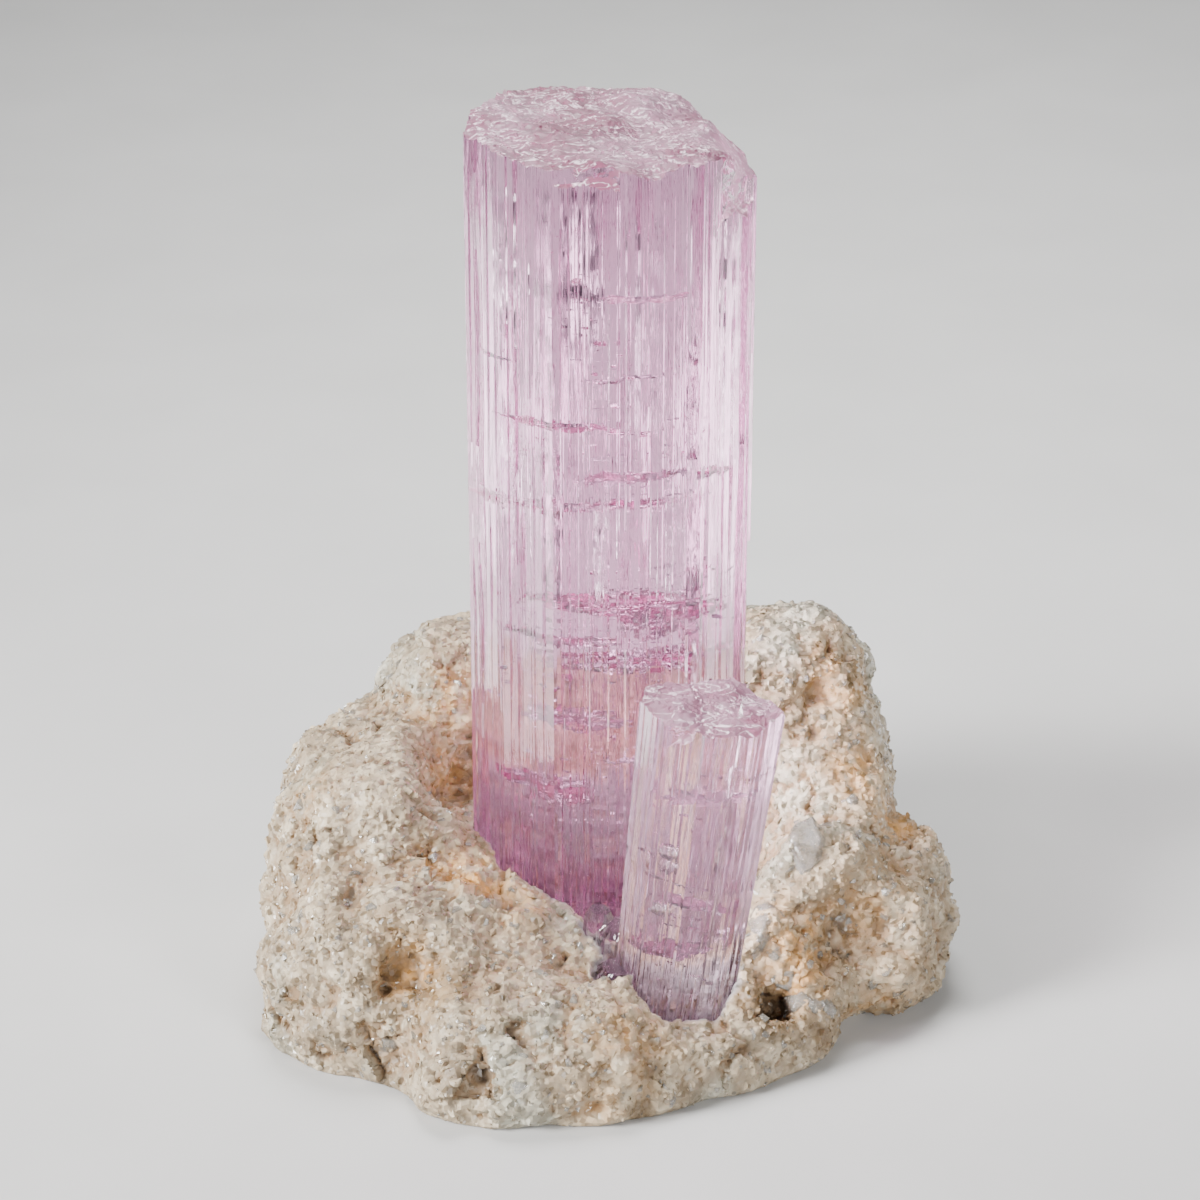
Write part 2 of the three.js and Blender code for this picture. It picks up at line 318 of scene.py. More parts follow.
# %% The prism itself
def striated_prism(name, outline, heights, step_height=None, step=0.0, widest=0.0):
    """A closed prism along Z, in mm. Below step_height its right side lies in by step."""
    count = len(outline)
    bpy.ops.object.select_all(action="DESELECT")
    bpy.ops.mesh.primitive_cylinder_add(
        vertices=count, radius=1, depth=heights[-1] - heights[0],
        location=(0, 0, (heights[0] + heights[-1]) / 2), end_fill_type="NGON")
    piece = bpy.context.object
    piece.name = name
    bpy.ops.object.transform_apply(location=True)
    bpy.ops.object.mode_set(mode="EDIT")
    for height in heights[1:-1]:
        bpy.ops.mesh.select_all(action="SELECT")
        bpy.ops.mesh.bisect(plane_co=(0, 0, height), plane_no=(0, 0, 1))
    bpy.ops.object.mode_set(mode="OBJECT")
    points = points_of(piece)
    turns = np.arctan2(points[:, 0], points[:, 1]) / (2 * math.pi)
    places = np.round(-turns * count).astype(int) % count
    for vertex, place in enumerate(places):
        flat, inward, depth = outline[place]
        height = points[vertex, 2]
        fade = 0.8 + 1.0 * noise.noise(Vector((place * 0.11, height / 17, 3.1)))
        drift = 0.03 * noise.noise(Vector((place * 0.41, height / 9, 8.7)))
        spot = flat + inward * max(depth * min(max(fade, 0.15), 1.15) + drift, 0)
        if step_height is not None and height < step_height:
            spot.x = min(spot.x, widest - step)
        points[vertex, :2] = spot
    set_points(piece, points)
    print(name, count, "strips,", triangle_count(piece), "triangles")
    return piece


# %% [markdown]
# ## The broken ends
# Neither crystal kept its natural tip: both ends are fractures. The solid in the model already
# has that break with its larger steps. A copy of it, a little wider than the crystal, is made
# finer on its broken faces and roughened, and the striated prism is then trimmed to it.

# %% Trimming a prism to the break of its solid
FRACTURE_CELL = 0.40 * MM
SUBDIVISIONS = 5  # most rounds of halving edges down to that cell
SMOOTHINGS = 14
WIDER = 1.05  # the cutter, beside the crystal
CORE = 0.96  # share of the outline inside which upright faces belong to the break
SOLE = 1.5 * MM  # what lies this near the cutter's underside is moved down, out of the way
SOLE_DROP = 2 * MM


def terraces(x, y, stretch, count, layer):
    """From 0 to 1: low curved steps, each rising gently and then dropping at once."""
    field = noise.noise(Vector((x / stretch[0], y / stretch[1], layer)))
    field += 0.18 * noise.noise(Vector((x / 1.3, y / 0.9, layer)))
    return (field * count) % 1.0


def fracture_relief(x, y, reach):
    """Height in mm of the fine relief of a break. reach is 0 on the axis and 1 at the rim."""
    swell = 0.45 * noise.noise(Vector((x / 6, y / 6, 4)))
    steps = 0.17 * terraces(x, y, (9, 4.5), 6, 9) + 0.09 * terraces(x, y, (4, 2.4), 5, 14)
    patch = max(0, noise.noise(Vector((x / 5, y / 5, 21))))
    hackle = (0.06 + 0.30 * patch) * noise.noise(Vector((x / 0.8, y / 0.7, 2)))
    rim = min(max((reach - 0.88) / 0.12, 0), 1)
    chips = rim * (
        0.8 * abs(noise.noise(Vector((x / 2.1, y / 2.1, 30))))
        + 0.25 * abs(noise.noise(Vector((x / 0.9, y / 0.9, 40)))))
    return swell + steps + hackle - chips


def without_crumbs(mesh):
    """Deletes the small loose bodies that a cut leaves beside the largest one."""
    unseen = set(mesh.verts)
    bodies = []
    while unseen:
        body, fresh = [], [unseen.pop()]
        while fresh:
            vertex = fresh.pop()
            body.append(vertex)
            for edge in vertex.link_edges:
                other = edge.other_vert(vertex)
                if other in unseen:
                    unseen.remove(other)
                    fresh.append(other)
        bodies.append(body)
    bodies.sort(key=len)
    for crumb in bodies[:-1]:
        bmesh.ops.delete(mesh, geom=crumb, context="VERTS")
    return len(bodies) - 1


def within(corners, x, y):
    """Whether a point lies inside a polygon: a line from it crosses an odd number of sides."""
    crossings = 0
    for (ax, ay), (bx, by) in zip(corners, corners[1:] + corners[:1]):
        if (ay > y) != (by > y) and x < ax + (y - ay) / (by - ay) * (bx - ax):
            crossings += 1
    return crossings % 2 == 1


# %% The cutter, a finer copy of the solid's break
def made_fine(mesh, broken):
    """Halves the edges of the broken faces until none is longer than the cell."""
    for _ in range(SUBDIVISIONS):
        long_edges = [
            edge for edge in mesh.edges
            if edge.calc_length() > FRACTURE_CELL and all(broken(face) for face in edge.link_faces)]
        if not long_edges:
            break
        bmesh.ops.subdivide_edges(mesh, edges=long_edges, cuts=1)
        bmesh.ops.triangulate(mesh, faces=[face for face in mesh.faces if len(face.verts) > 3])


def roughened(mesh, broken, width, depth):
    """Smooths the coarse steps of the broken faces and then gives them their fine relief."""
    moved = [vertex for vertex in mesh.verts if any(broken(face) for face in vertex.link_faces)]
    inner = [vertex for vertex in moved if all(broken(face) for face in vertex.link_faces)]
    for _ in range(SMOOTHINGS):
        bmesh.ops.smooth_vert(
            mesh, verts=inner, factor=0.5, use_axis_x=True, use_axis_y=True, use_axis_z=True)
    for vertex in moved:
        x, y, z = vertex.co / MM
        reach = math.hypot(2 * x / width, 2 * y / depth)
        vertex.co.z += fracture_relief(x, y, reach) * MM
    for vertex in inner:
        spot = vertex.co / MM
        ragged = 0.30 * noise.noise_vector(spot / 1.6) + 0.12 * noise.noise_vector(spot / 0.6)
        steep = 1 - min(abs(vertex.normal.z), 1)
        vertex.co += ragged * steep * MM


def break_cutter(node_name, place, corners, width, depth, break_above):
    """The solid of the node, a little wider, deeper below and with a fine, rough break."""
    half_core = CORE / 2 * MM
    core = [(u * width * half_core, v * depth * half_core) for u, v in corners]
    cutter = bpy.data.objects.new(node_name + "_break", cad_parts[node_name].data.copy())
    bpy.context.scene.collection.objects.link(cutter)
    cutter.data.transform(place.inverted())
    cutter.data.transform(Matrix.Diagonal((WIDER, WIDER, 1, 1)))
    mesh = bmesh.new()
    mesh.from_mesh(cutter.data)
    bmesh.ops.remove_doubles(mesh, verts=mesh.verts, dist=SAME_PLACE)

    def broken(face):
        middle = face.calc_center_median()
        if middle.z <= break_above:
            return False
        return face.normal.z > 0.12 or within(core, middle.x, middle.y)

    made_fine(mesh, broken)
    roughened(mesh, broken, width, depth)
    low = min(vertex.co.z for vertex in mesh.verts)
    for vertex in mesh.verts:
        if vertex.co.z < low + SOLE:
            vertex.co.z -= SOLE_DROP
    mesh.to_mesh(cutter.data)
    mesh.free()
    return cutter


# %% Trimming a prism with it
INSIDE_OUTLINE = 0.9 * MM  # a face this far from the prism's own points lies on the break


def broken_like(piece, node_name, place, corners, width, depth, break_above):
    """Trims piece, which stands at the matrix place, and marks the faces of its break."""
    outline = kdtree.KDTree(len(piece.data.vertices))
    for index, vertex in enumerate(piece.data.vertices):
        outline.insert((vertex.co.x, vertex.co.y, 0), index)
    outline.balance()
    cutter = break_cutter(node_name, place, corners, width, depth, break_above)
    apply_modifier(piece, "BOOLEAN", operation="INTERSECT", solver="MANIFOLD", object=cutter)
    bpy.data.objects.remove(cutter)
    mesh = bmesh.new()
    mesh.from_mesh(piece.data)
    print(without_crumbs(mesh), "crumbs left out")
    mesh.to_mesh(piece.data)
    mesh.free()
    marks = []
    for face in piece.data.polygons:
        x, y, z = face.center
        inside = outline.find((x, y, 0))[2] > INSIDE_OUTLINE
        marks.append(float(z > break_above and (face.normal.z > 0.1 or inside)))
    piece.data.attributes.new("broken", "FLOAT", "FACE").data.foreach_set("value", marks)
    print(piece.name, triangle_count(piece), "triangles,", int(sum(marks)), "faces on the break")


# %% [markdown]
# ## The tall crystal
# Its outline has a dozen corners, and below half its height the right side lies in a little,
# because the outermost growth layer is missing there. The crystal is made standing on the
# origin, so that its own axes are easy to work in, and is moved to its place at the end.

# %% The tall crystal
LARGE_CORNERS = [
    (-1, -0.16), (-0.76, -0.64), (-0.4, -0.96), (0.2, -1), (0.62, -0.78), (0.93, -0.36),
    (1, 0.14), (0.76, 0.68), (0.36, 0.95), (-0.2, 1), (-0.68, 0.82), (-0.96, 0.3),
]
LARGE_WIDTH = (tall_high.x - tall_low.x) / MM
LARGE_DEPTH = (tall_high.y - tall_low.y) / MM
LARGE_LENGTH = (tall_high.z - tall_low.z) / MM
LAYER_END = 50.0  # mm, where the growth layer on the right begins
LAYER_THICK = 0.4
LARGE_BREAK = 16  # mm below the top, where its broken faces end


def levels(spacing, length):
    """Heights in mm at which a prism is cut across, to just past its top."""
    return [0.1 + spacing * number for number in range(int(length / spacing) + 2)]


large_place = Matrix.Translation((tall_axis.x, tall_axis.y, tall_low.z))
large_levels = sorted(levels(3.1, LARGE_LENGTH) + [LAYER_END - 0.1, LAYER_END + 0.1])
large = striated_prism(
    "kunzite_large", striated_outline(LARGE_CORNERS, LARGE_WIDTH, LARGE_DEPTH, random.Random(7)),
    large_levels, step_height=LAYER_END, step=LAYER_THICK, widest=LARGE_WIDTH / 2)
large.data.transform(Matrix.Scale(MM, 4))
broken_like(
    large, "large_crystal", large_place, LARGE_CORNERS, LARGE_WIDTH, LARGE_DEPTH,
    (LARGE_LENGTH - LARGE_BREAK) * MM)

# %% [markdown]
# ## The small crystal
# It leans to the right and towards the camera, and narrows towards its foot. It is made
# upright like the tall one, and only then leaned into place.

# %% The small crystal
SMALL_CORNERS = [
    (-1, -0.1), (-0.66, -0.72), (-0.1, -1), (0.62, -0.86), (1, -0.2),
    (0.84, 0.5), (0.3, 1), (-0.5, 0.92), (-0.92, 0.44),
]
SMALL_WIDTH = 16.8
SMALL_DEPTH = 12.0
SMALL_LENGTH = 47.0
SMALL_TAPER = 0.16
SMALL_BREAK = 8  # mm below the top, where its broken faces end
SMALL_FOOT = Vector((8.3 - 1.25, -20.4, 3.5))  # in mm from the tall crystal's axis
LEAN_RIGHT = math.radians(5.7)
LEAN_FORWARD = math.radians(4.5)
small_place = (
    Matrix.Translation(Vector((tall_axis.x, tall_axis.y, 0)) + SMALL_FOOT * MM)
    @ Matrix.Rotation(LEAN_RIGHT, 4, "Y") @ Matrix.Rotation(LEAN_FORWARD, 4, "X"))


def narrowed_to_foot(piece):
    points = points_of(piece)
    share = 1 - SMALL_TAPER * (1 - points[:, 2:] / SMALL_LENGTH)
    points[:, :2] *= share
    set_points(piece, points)


small = striated_prism(
    "kunzite_small", striated_outline(SMALL_CORNERS, SMALL_WIDTH, SMALL_DEPTH, random.Random(21)),
    levels(2.4, SMALL_LENGTH))
narrowed_to_foot(small)
small.data.transform(Matrix.Scale(MM, 4))
broken_like(
    small, "small_crystal", small_place, SMALL_CORNERS, SMALL_WIDTH, SMALL_DEPTH,
    (SMALL_LENGTH - SMALL_BREAK) * MM)

# %% Short side prisms at its foot
# place of the axis, width, depth and length, in mm, in the small crystal's own axes
WORN_TOP = 0.72  # how far the rim of a side prism is worn in
SIDE_PRISMS = [(-7, 3.2, 5.5, 5, 12.2), (-9.7, 4.6, 3.6, 3.2, 13.2), (-7.2, -1.2, 5, 5, 9.2)]
for number, (x, y, width, depth, length) in enumerate(SIDE_PRISMS):
    side = striated_prism(
        "side_prism", striated_outline(SMALL_CORNERS, width, depth, random.Random(40 + number)),
        [0.4, length * 0.5, length - 0.9, length])
    points = points_of(side)
    rim = points[:, 2] > length - 0.1
    points[rim, :2] *= WORN_TOP
    points[:, 0] += x
    points[:, 1] += y
    set_points(side, points * MM)
    apply_modifier(small, "BOOLEAN", operation="UNION", solver="EXACT", object=side)
    bpy.data.objects.remove(side)
print("kunzite_small with its side prisms", triangle_count(small), "triangles")

# %% [markdown]
# ## Fractures and bubbles inside the crystals
# What sparkles inside clear kunzite is thin gaps: cleavage cracks that lie across the prism,
# healed fractures, and rows of tiny bubbles. Each is an empty space, so it is modelled as one:
# a closed shell inside the crystal's mesh whose faces point into the gap. Light then turns
# back at it just as it does in the stone. A crack is a sphere flattened to a wavy leaf, and a
# flake or bubble is a small double pyramid, because there are hundreds of them.

# %% One crack, and a cloud of flakes or bubbles
def crack(luck, middle, across, thick, wave, turn):
    """A wavy leaf in mm: its middle, its half width and half depth, thickness, wave height and tilt."""
    bpy.ops.object.select_all(action="DESELECT")
    bpy.ops.mesh.primitive_uv_sphere_add(segments=64, ring_count=16, radius=1)
    leaf = bpy.context.object
    points = points_of(leaf)
    seed = luck.uniform(0, 100)
    for index, (x, y, z) in enumerate(points):
        reach = math.hypot(x, y) + 0.01
        edge = 1 + 0.5 * noise.noise(Vector((1.9 * x / reach, 1.9 * y / reach, seed)))
        edge += 0.25 * noise.noise(Vector((5 * x / reach, 5 * y / reach, seed)))
        px, py = x * edge * across[0], y * edge * across[1]
        lift = wave * noise.noise(Vector((px / 3.6, py / 3.6, seed)))
        lift += 0.4 * wave * noise.noise(Vector((px / 1.3, py / 1.3, seed + 9)))
        points[index] = (px, py, z * thick + lift)
    set_points(leaf, points)
    leaf.data.transform(Matrix.Translation(middle) @ turn.to_4x4())
    leaf.data.flip_normals()
    return leaf


def tilted(about_x, about_y, about_z=0.0):
    return (
        Matrix.Rotation(math.radians(about_z), 3, "Z") @ Matrix.Rotation(math.radians(about_y), 3, "Y")
        @ Matrix.Rotation(math.radians(about_x), 3, "X"))


def mesh_piece(name, points, triangles):
    mesh = bpy.data.meshes.new(name)
    mesh.from_pydata(points.tolist(), [], triangles.tolist())
    piece = bpy.data.objects.new(name, mesh)
    bpy.context.scene.collection.objects.link(piece)
    return piece


def gap_cloud(name, scatter, places, sizes, flatness, leans):
    """Many small gaps as one mesh, in mm: eight-sided double pyramids, each leaning its own way."""
    sides = 8
    turns = np.arange(sides) * 2 * math.pi / sides
    count = len(places)
    rims = np.stack([np.cos(turns), np.sin(turns), np.zeros(sides)], 1)[None]
    rims = rims * scatter.uniform(0.55, 1.2, (count, sides, 1))
    poles = np.array([(0, 0, flatness), (0, 0, -flatness)])[None].repeat(count, 0)
    corners = np.concatenate([rims, poles], 1) * sizes[:, None, None]
    spins, tips = scatter.uniform(0, 2 * math.pi, count), scatter.normal(0, leans, count)
    turned = np.array([
        (Matrix.Rotation(spin, 3, "Z") @ Matrix.Rotation(tip, 3, "X")) for spin, tip in zip(spins, tips)])
    points = (np.einsum("nij,nkj->nki", turned, corners) + places[:, None]).reshape(-1, 3)
    one = [((side + 1) % sides, side, sides) for side in range(sides)]
    one += [(side, (side + 1) % sides, sides + 1) for side in range(sides)]
    triangles = (np.array(one)[None] + (sides + 2) * np.arange(count)[:, None, None]).reshape(-1, 3)
    return mesh_piece(name, points, triangles)


def tree_of(piece):
    return BVHTree.FromPolygons(
        [vertex.co for vertex in piece.data.vertices], [polygon.vertices for polygon in piece.data.polygons])


TRIES = 14


def add_clear_of(gap, gaps, trees, luck):
    """Keeps a crack, moved a little where it would cross another. Two gaps that cross trap light."""
    for _ in range(TRIES):
        tree = tree_of(gap)
        if not any(tree.overlap(other) for other in trees):
            gaps.append(gap)
            trees.append(tree)
            return
        shift = Vector((luck.uniform(-1, 1), luck.uniform(-1, 1), luck.uniform(-1.6, 1.6)))
        gap.data.transform(Matrix.Translation(shift))
    bpy.data.objects.remove(gap)
    print("left out a crack that found no clear place")


def clusters(scatter, groups, limits, trees):
    """Places and sizes in mm of flakes that crowd round given middles, clear of each other."""
    kept = []
    for middle, spread, count, smallest, largest in groups:
        group = np.array(middle) + scatter.normal(0, 1, (count, 3)) * np.array(spread)
        group = np.clip(group, limits[0], limits[1])
        sizes = smallest * (largest / smallest) ** scatter.uniform(0, 1, count)
        for place, size in zip(group, sizes):
            reach = 1.25 * size
            if any(tree.find_nearest(Vector(place), reach)[0] is not None for tree in trees):
                continue
            if any(math.dist(place, other) < reach + 1.25 * other_size for other, other_size in kept):
                continue
            kept.append((place, size))
    print(len(kept), "flakes and bubbles")
    return np.array([place for place, size in kept]), np.array([size for place, size in kept])


def joined_into(piece, others):
    only(piece)
    for other in others:
        other.select_set(True)
    bpy.ops.object.join()


def with_gaps(piece, cracks, upright_cracks, bubbles, flakes, limits, flake_shape, place):
    """Joins all the gaps of a crystal into it and moves it to its place."""
    gaps, trees = [], []
    for middle, across, wave, tilt in cracks:
        leaf = crack(luck, Vector(middle), across, 0.05, wave, tilted(*tilt))
        add_clear_of(leaf, gaps, trees, luck)
    for middle, across, wave, faces in upright_cracks:
        leaf = crack(luck, Vector(middle), across, 0.04, wave, tilted(0, 90, faces))
        add_clear_of(leaf, gaps, trees, luck)
    for middle, across, tall in bubbles:
        bubble = crack(luck, Vector(middle), across, tall, 0.12, tilted(0, 0))
        add_clear_of(bubble, gaps, trees, luck)
    places, sizes = clusters(scatter, flakes, limits, trees)
    gaps.append(gap_cloud("flakes", scatter, places, sizes, *flake_shape))
    for gap in gaps:
        gap.data.transform(Matrix.Scale(MM, 4))
    joined_into(piece, gaps)
    piece.data.transform(place)
    print(piece.name, triangle_count(piece), "triangles")


# %% Cracks and flakes of the tall crystal
# middle, half width and depth, wave height, in mm, and tilt in degrees about X and Y
LARGE_CRACKS = [
    ((3.5, -10.5, 87), (4.8, 1.6), 0.8, (4, 2)), ((-12.5, -4.5, 77.5), (2.2, 2.0), 0.6, (0, 5)),
    ((1.5, -10, 77), (3.6, 1.8), 1.0, (5, -4)), ((-4, -6, 70), (8, 2.0), 1.0, (3, 2)),
    ((1, -9.5, 64.5), (5.5, 2.0), 1.1, (6, -5)), ((7, -3, 63), (4.5, 3), 1.2, (-4, 6)),
    ((-3, 3, 57.5), (9, 2.6), 1.1, (3, -3)), ((1, -6, 47), (9, 3.6), 1.5, (10, 3)),
    ((7, -4, 44), (5, 4), 1.5, (12, -8)), ((-6, -4, 42), (6, 4), 1.4, (-9, 7)),
    ((2, 0, 38), (8, 5), 1.5, (6, 5)), ((-4, -7, 32), (6, 3.2), 1.1, (14, 4)),
    ((5, -7, 27), (5, 3), 1.0, (-12, -8)), ((-7, -5, 22), (5, 4), 1.0, (12, 10)),
]
# middle, half height and width, wave height, and the way that the upright crack faces
LARGE_UPRIGHT_CRACKS = [
    ((-10.5, -4, 88), (9, 1.9), 0.25, 52), ((-10, -5, 64), (11, 1.7), 0.25, 50),
    ((-7.4, -8, 80), (15, 1.3), 0.2, -48), ((-6.4, -8, 58), (10, 1.4), 0.25, -50),
    ((-2.6, -2, 88), (12, 2.2), 0.3, 40), ((3.8, -4.5, 80), (15, 1.3), 0.2, -60),
    ((4.6, -7.5, 55), (8, 1.4), 0.2, -56), ((8.6, -6, 74), (13, 1.6), 0.25, 50),
    ((9, -6.5, 54), (7, 1.5), 0.25, 47), ((12, 1, 80), (18, 1.7), 0.25, -42),
    ((11.4, 2, 50), (16, 1.7), 0.25, -46), ((-1, -9.8, 55), (7, 1.1), 0.3, 62),
    ((-10.5, -2, 36), (12, 1.6), 0.3, 48), ((9.8, -4, 30), (11, 1.4), 0.3, -52),
]
# middle, spread, how many, smallest and largest size in mm
LARGE_FLAKES = [
    ((-3.4, -8, 86), (1.1, 1.2, 2.0), 50, 0.2, 0.9), ((-1.4, -8, 78.5), (1.4, 1.4, 2.4), 40, 0.2, 0.9),
    ((0, -6, 66), (4, 2.5, 3), 60, 0.2, 0.9), ((2, -5, 46), (7, 4, 2.6), 320, 0.15, 0.95),
    ((-4, -4, 37), (6, 4, 4), 180, 0.15, 0.9), ((0, -3, 22), (7, 5, 6), 150, 0.15, 0.8),
    ((0, 0, 60), (7, 5, 26), 260, 0.05, 0.28),
    ((-9, -7, 66), (0.25, 0.3, 13), 60, 0.05, 0.15), ((-4.5, -9.5, 50), (0.3, 0.3, 10), 50, 0.05, 0.16),
    ((2.4, -9.5, 70), (0.2, 0.3, 12), 60, 0.05, 0.15), ((7, -8, 62), (0.3, 0.3, 15), 60, 0.05, 0.16),
    ((10.5, -5, 40), (0.4, 0.4, 12), 50, 0.05, 0.16), ((-7, -7, 30), (0.4, 0.4, 10), 60, 0.05, 0.18),
]
LARGE_INSIDE = ((-12.5, -10, 4), (12.5, 10, LARGE_LENGTH - 12))  # mm, where flakes may lie
LARGE_FLAKE_SHAPE = (0.07, 0.24)  # flatness, and lean in radians
luck = random.Random(3)
scatter = np.random.default_rng(5)
with_gaps(
    large, LARGE_CRACKS, LARGE_UPRIGHT_CRACKS, [], LARGE_FLAKES, LARGE_INSIDE,
    LARGE_FLAKE_SHAPE, large_place)

# %% Cracks and flakes of the small crystal
SMALL_CRACKS = [
    ((0.5, 0.5, 35), (4.5, 2), 0.6, (12, -6)), ((-2, -2, 24), (2.6, 1.6), 0.8, (-14, 10)),
    ((2, 0.5, 20), (3, 2.2), 0.8, (10, 12)), ((-0.5, 0.5, 13), (3.6, 2.2), 0.8, (8, -8)),
]
SMALL_UPRIGHT_CRACKS = [((3.2, -1.5, 30), (13, 0.9), 0.15, 52), ((1.2, 1.5, 24), (15, 0.8), 0.15, -50)]
# middle, half width and depth, half height, in mm
SMALL_BUBBLES = [
    ((-2.6, -2.4, 28), (1.0, 0.6), 1.2), ((-2.8, -2.4, 24), (1.1, 0.6), 1.3),
    ((-3, -2.3, 19.8), (0.9, 0.6), 1.1),
]
SMALL_FLAKES = [
    ((-1.2, -1.5, 21), (1.6, 1.2, 4), 60, 0.15, 0.7), ((0, 0, 12), (2.4, 1.6, 4), 50, 0.15, 0.7),
    ((1, 0, 36), (2.4, 1.6, 4), 30, 0.1, 0.5),
]
SMALL_INSIDE = ((-4.5, -3, 4), (4.5, 3, SMALL_LENGTH - 6))
SMALL_FLAKE_SHAPE = (0.06, 0.45)
with_gaps(
    small, SMALL_CRACKS, SMALL_UPRIGHT_CRACKS, SMALL_BUBBLES, SMALL_FLAKES, SMALL_INSIDE,
    SMALL_FLAKE_SHAPE, small_place)

# %% [markdown]
# ## Kunzite
# The stone is clear, bends light strongly, and is only faintly lilac: the colour gathers with
# the length of the way that light takes through it. So the colour is an absorption inside the
# volume, and looking in through the top, down the length of the prism, gives the deepest tone.
# Hairline striations too fine to model are a bump drawn out along the prism. The break is
# partly frosted, and white along the fine ribs that a fracture leaves. Where it is smooth it is
# painted a deep rose: painted shade that stands in for the colour gathered down the prism's length.

# %% Which edges of a crystal are sharp
def crisp(piece):
    """Sharp edges between striations, softer ones on the break."""
    sharp, sharp_on_break = math.radians(6), math.radians(28)
    mesh = bmesh.new()
    mesh.from_mesh(piece.data)
    broken = mesh.faces.layers.float["broken"]
    for face in mesh.faces:
        face.smooth = True
    for edge in mesh.edges:
        faces = edge.link_faces
        on_break = len(faces) == 2 and all(face[broken] > 0.5 for face in faces)
        limit = sharp_on_break if on_break else sharp
        edge.smooth = len(faces) == 2 and edge.calc_face_angle(0) < limit
    mesh.to_mesh(piece.data)
    mesh.free()


# %% Kunzite material
STONE_IOR = 1.66
STONE_COLOUR = (0.88, 0.40, 0.72, 1)  # what the stone lets through
STONE_DENSITY = 46.0


def rib_pattern(tree, upright):
    """From 0 to 1: thin flowing lines, where a noise crosses its middle value."""
    flowing = add_node(
        tree, "ShaderNodeMapping", {"Vector": upright.outputs["Vector"], "Scale": (0.45, 1, 1)})
    flow = add_node(
        tree, "ShaderNodeTexNoise",
        {"Vector": flowing.outputs["Vector"], "Scale": 620.0, "Detail": 3.0, "Distortion": 0.8})
    off_line = add_node(tree, "ShaderNodeMath", {0: flow.outputs["Fac"], 1: 0.5}, operation="SUBTRACT")
    off_line = add_node(tree, "ShaderNodeMath", {0: off_line.outputs["Value"]}, operation="ABSOLUTE")
    ribs = add_node(
        tree, "ShaderNodeMapRange",
        {"Value": off_line.outputs["Value"], "From Min": 0.006, "From Max": 0.026,
         "To Min": 1.0, "To Max": 0.0})
    return ribs.outputs["Result"]


def number_between(tree, factor, first, second):
    node = add_node(tree, "ShaderNodeMix", data_type="FLOAT")
    for key, value in ((0, factor), (2, first), (3, second)):
        tree.links.new(value, node.inputs[key])
    return node.outputs[0]


def kunzite(name, lean):
    material, tree, shader = new_material(name)
    broken = add_node(tree, "ShaderNodeAttribute", attribute_name="broken").outputs["Fac"]
    place = object_place(tree)
    upright = add_node(tree, "ShaderNodeMapping", {"Vector": place, "Rotation": lean})
    drawn_out = add_node(
        tree, "ShaderNodeMapping", {"Vector": upright.outputs["Vector"], "Scale": (1, 1, 0.03)})
    hairlines = add_node(
        tree, "ShaderNodeTexNoise", {"Vector": drawn_out.outputs["Vector"], "Scale": 3000.0, "Detail": 2.0})
    grit = add_node(tree, "ShaderNodeTexNoise", {"Vector": place, "Scale": 1500.0, "Detail": 4.0})
    ribs = rib_pattern(tree, upright)
    rib_share = add_node(tree, "ShaderNodeMath", {0: ribs, 1: broken}, operation="MULTIPLY")
    rib_share = rib_share.outputs["Value"]
    rough = add_node(tree, "ShaderNodeMath", {0: grit.outputs["Fac"], 1: ribs}, operation="ADD")
    height = number_between(tree, broken, hairlines.outputs["Fac"], rough.outputs["Value"])
    bump = add_node(
        tree, "ShaderNodeBump", {"Height": height, "Strength": 0.6, "Distance": 0.07 * MM})
    clouds = add_node(tree, "ShaderNodeTexNoise", {"Vector": place, "Scale": 260.0, "Detail": 3.0})
    side_tint = ramp(tree, clouds.outputs["Fac"], [(0.35, (0.95, 0.90, 0.95)), (0.6, (1, 0.99, 1))])
    # Painted shade: the smooth break is tinted deep rose, standing in for the colour that light gathers down
    # the length of the prism.
    pools = add_node(tree, "ShaderNodeTexNoise", {"Vector": place, "Scale": 110.0, "Detail": 3.0})
    painted_deep_rose = ramp(tree, pools.outputs["Fac"], [(0.38, (0.27, 0.085, 0.14)), (0.60, (0.47, 0.25, 0.34))])
    break_tint_with_painted_depth = mixed(tree, rib_share, painted_deep_rose, (0.80, 0.64, 0.71))
    tint = mixed(tree, broken, side_tint, break_tint_with_painted_depth)
    clear = mixed(tree, broken, (1.0, 1.0, 1.0), (0.55, 0.55, 0.55))
    clear = mixed(tree, rib_share, clear, (0.15, 0.15, 0.15))
    side_gloss = add_node(
        tree, "ShaderNodeMapRange",
        {"Value": clouds.outputs["Fac"], "From Min": 0.45, "From Max": 0.75, "To Min": 0.0, "To Max": 0.06})
    break_gloss = add_node(
        tree, "ShaderNodeMapRange",
        {"Value": clouds.outputs["Fac"], "From Min": 0.3, "From Max": 0.7, "To Min": 0.30, "To Max": 0.55})
    gloss = number_between(tree, broken, side_gloss.outputs["Result"], break_gloss.outputs["Result"])
    tree.links.new(bump.outputs["Normal"], shader.inputs["Normal"])
    tree.links.new(tint, shader.inputs["Base Color"])
    tree.links.new(gloss, shader.inputs["Roughness"])
    shader.inputs["IOR"].default_value = STONE_IOR
    tree.links.new(clear, shader.inputs["Transmission Weight"])
    inside = add_node(tree, "ShaderNodeVolumeAbsorption")
    inside.inputs["Color"].default_value = STONE_COLOUR
    inside.inputs["Density"].default_value = STONE_DENSITY
    output = tree.nodes["Material Output"]
    tree.links.new(inside.outputs["Volume"], output.inputs["Volume"])
    return material


for piece, lean in ((large, (0, 0, 0)), (small, (-LEAN_FORWARD, -LEAN_RIGHT, 0))):
    piece.data.materials.clear()
    piece.data.materials.append(kunzite(piece.name + "_stone", lean))
    crisp(piece)
    piece.visible_shadow = False  # daylight reaches the sockets through the clear stone
    print(piece.name, "is", piece.active_material.name)

